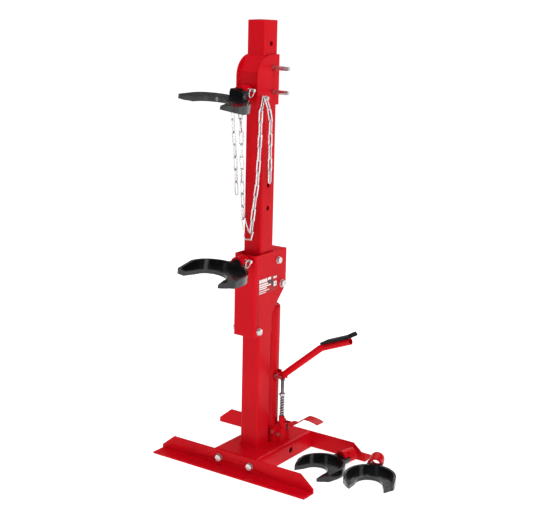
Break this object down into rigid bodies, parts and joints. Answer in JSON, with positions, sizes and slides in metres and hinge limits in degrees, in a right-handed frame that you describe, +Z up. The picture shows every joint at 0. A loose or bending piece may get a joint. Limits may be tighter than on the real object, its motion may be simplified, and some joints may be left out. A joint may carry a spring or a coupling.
{
  "type": "spring compressor stand",
  "caption": "Foot-operated strut spring compressor stand with a hydraulic ram, sliding carriage, swivelling yokes and a safety chain.",
  "frame": {"origin": "on the floor under the axis of the square post", "axes": "+Z up along the post, -Y towards the yokes, +X to the side the pedals stand out on"},
  "size_m": [0.7053, 0.5021, 1.2807],
  "materials": {
    "red_paint": "glossy powder coat",
    "black_dip": "glossy dipped coating",
    "zinc_plate": "bright zinc plate",
    "bare_steel": "ground steel",
    "black_rubber": "matt ribbed",
    "label": "printed film"
  },
  "bodies": {
    "stand": {"front_leg": "red_paint", "rear_leg": "red_paint", "crossmember": "red_paint", "cross_end_plates": "red_paint", "leg_bolts": "zinc_plate", "leg_nuts": "zinc_plate", "main_post": "red_paint", "post_end_cap": "red_paint", "ram_cylinder": "red_paint", "ram_head": "red_paint", "oil_plug": "zinc_plate", "pump_block": "red_paint", "pump_block_bolts": "zinc_plate", "pump_barrel": "red_paint", "pedal_bracket": "red_paint", "pedal_pivot_pin": "zinc_plate", "release_valve_body": "red_paint", "release_pivot_pin": "zinc_plate", "slide_shell": "red_paint", "slide_front_plate": "red_paint", "upper_spigot": "bare_steel", "chain_hooks": "zinc_plate", "chain_right_tail": "zinc_plate", "chain_left_tail": "zinc_plate", "chain_loop": "zinc_plate", "chain_delta_ring": "zinc_plate"},
    "carriage": {"carriage_shell": "red_paint", "carriage_bridge": "red_paint", "lower_spigot": "bare_steel", "ram_rod": "bare_steel", "ram_piston": "bare_steel", "ram_saddle": "red_paint", "ram_pin_bolt": "zinc_plate", "rear_roller_bolt": "zinc_plate", "front_roller_bolt": "zinc_plate", "rating_label": "label"},
    "rear_roller_body": {"rear_roller": "bare_steel"},
    "front_roller_body": {"front_roller": "bare_steel"},
    "upper_yoke_body": {"upper_yoke": "black_dip", "upper_yoke_socket": "red_paint"},
    "upper_ring_pin_body": {"upper_ring_pin": "zinc_plate"},
    "lower_yoke_body": {"lower_yoke": "black_dip", "lower_yoke_socket": "red_paint"},
    "lower_ring_pin_body": {"lower_ring_pin": "zinc_plate"},
    "upper_lock_pin_body": {"lock_pin_upper": "zinc_plate"},
    "lower_lock_pin_body": {"lock_pin_lower": "zinc_plate"},
    "foot_pedal_body": {"pedal_lever": "red_paint", "pedal_plate": "black_rubber", "pedal_pad": "black_rubber"},
    "plunger_body": {"pump_plunger": "bare_steel", "plunger_pin": "zinc_plate", "spring_retainer": "zinc_plate", "pump_spring": "zinc_plate"},
    "release_pedal_body": {"release_pedal": "red_paint"},
    "release_stem_body": {"release_stem": "bare_steel"},
    "left_spare_body": {"spare_yoke_left": "black_dip", "spare_socket_left": "red_paint"},
    "right_spare_body": {"spare_yoke_right": "black_dip", "spare_socket_right": "red_paint"}
  },
  "joints": [
    {"name": "ram_lift", "type": "slide", "parent": "stand", "child": "carriage", "axis": [0, 0, 1], "range_m": [0, 0.225]},
    {"name": "rear_roller_spin", "type": "hinge", "parent": "carriage", "child": "rear_roller_body", "pos_m": [0, 0.046, 0.607], "axis": [1, 0, 0], "range_deg": [0, 835]},
    {"name": "front_roller_spin", "type": "hinge", "parent": "carriage", "child": "front_roller_body", "pos_m": [0, -0.045, 0.414], "axis": [1, 0, 0], "range_deg": [-895, 0]},
    {"name": "upper_yoke_swivel", "type": "hinge", "parent": "stand", "child": "upper_yoke_body", "pos_m": [0, -0.085, 1.088], "axis": [0, 1, 0], "range_deg": [-25, 20]},
    {"name": "upper_ring_pin_pull", "type": "slide", "parent": "upper_yoke_body", "child": "upper_ring_pin_body", "axis": [0.9914, 0, -0.1305], "range_m": [0, 0.05]},
    {"name": "lower_yoke_swivel", "type": "hinge", "parent": "carriage", "child": "lower_yoke_body", "pos_m": [0, -0.085, 0.616], "axis": [0, 1, 0], "range_deg": [-25, 20]},
    {"name": "lower_ring_pin_pull", "type": "slide", "parent": "lower_yoke_body", "child": "lower_ring_pin_body", "axis": [0.9914, 0, -0.1305], "range_m": [0, 0.05]},
    {"name": "upper_lock_pin_pull", "type": "slide", "parent": "stand", "child": "upper_lock_pin_body", "axis": [-1, 0, 0], "range_m": [0, 0.135]},
    {"name": "lower_lock_pin_pull", "type": "slide", "parent": "stand", "child": "lower_lock_pin_body", "axis": [-1, 0, 0], "range_m": [0, 0.135]},
    {"name": "foot_pedal_stroke", "type": "hinge", "parent": "stand", "child": "foot_pedal_body", "pos_m": [0.037, 0.067, 0.255], "axis": [0, 1, 0], "range_deg": [0, 24], "stiffness_Nm_per_rad": 3, "springref_deg": -68.75},
    {"name": "plunger_stroke", "type": "slide", "parent": "stand", "child": "plunger_body", "axis": [0, 0, -1], "range_m": [0, 0.0056], "deforming": ["pump_spring"]},
    {"name": "release_pedal_press", "type": "hinge", "parent": "stand", "child": "release_pedal_body", "pos_m": [0.038, 0.093, 0.106], "axis": [0, 1, 0], "range_deg": [0, 10], "stiffness_Nm_per_rad": 1, "springref_deg": -34.38},
    {"name": "release_stem_stroke", "type": "slide", "parent": "stand", "child": "release_stem_body", "axis": [0, 0, -1], "range_m": [0, 0.004]},
    {"name": "left_spare_lift_off", "type": "slide", "parent": "stand", "child": "left_spare_body", "axis": [0, 0, 1], "range_m": [0, 0.04]},
    {"name": "right_spare_lift_off", "type": "slide", "parent": "stand", "child": "right_spare_body", "axis": [0, 0, 1], "range_m": [0, 0.15]}
  ],
  "couplings": [
    {"joint": "rear_roller_spin", "follows": "ram_lift", "rad_per_m": 64.516},
    {"joint": "front_roller_spin", "follows": "ram_lift", "rad_per_m": -68.966},
    {"joint": "plunger_stroke", "follows": "foot_pedal_stroke", "m_per_rad": 0.013},
    {"joint": "release_stem_stroke", "follows": "release_pedal_press", "m_per_rad": 0.019}
  ]
}
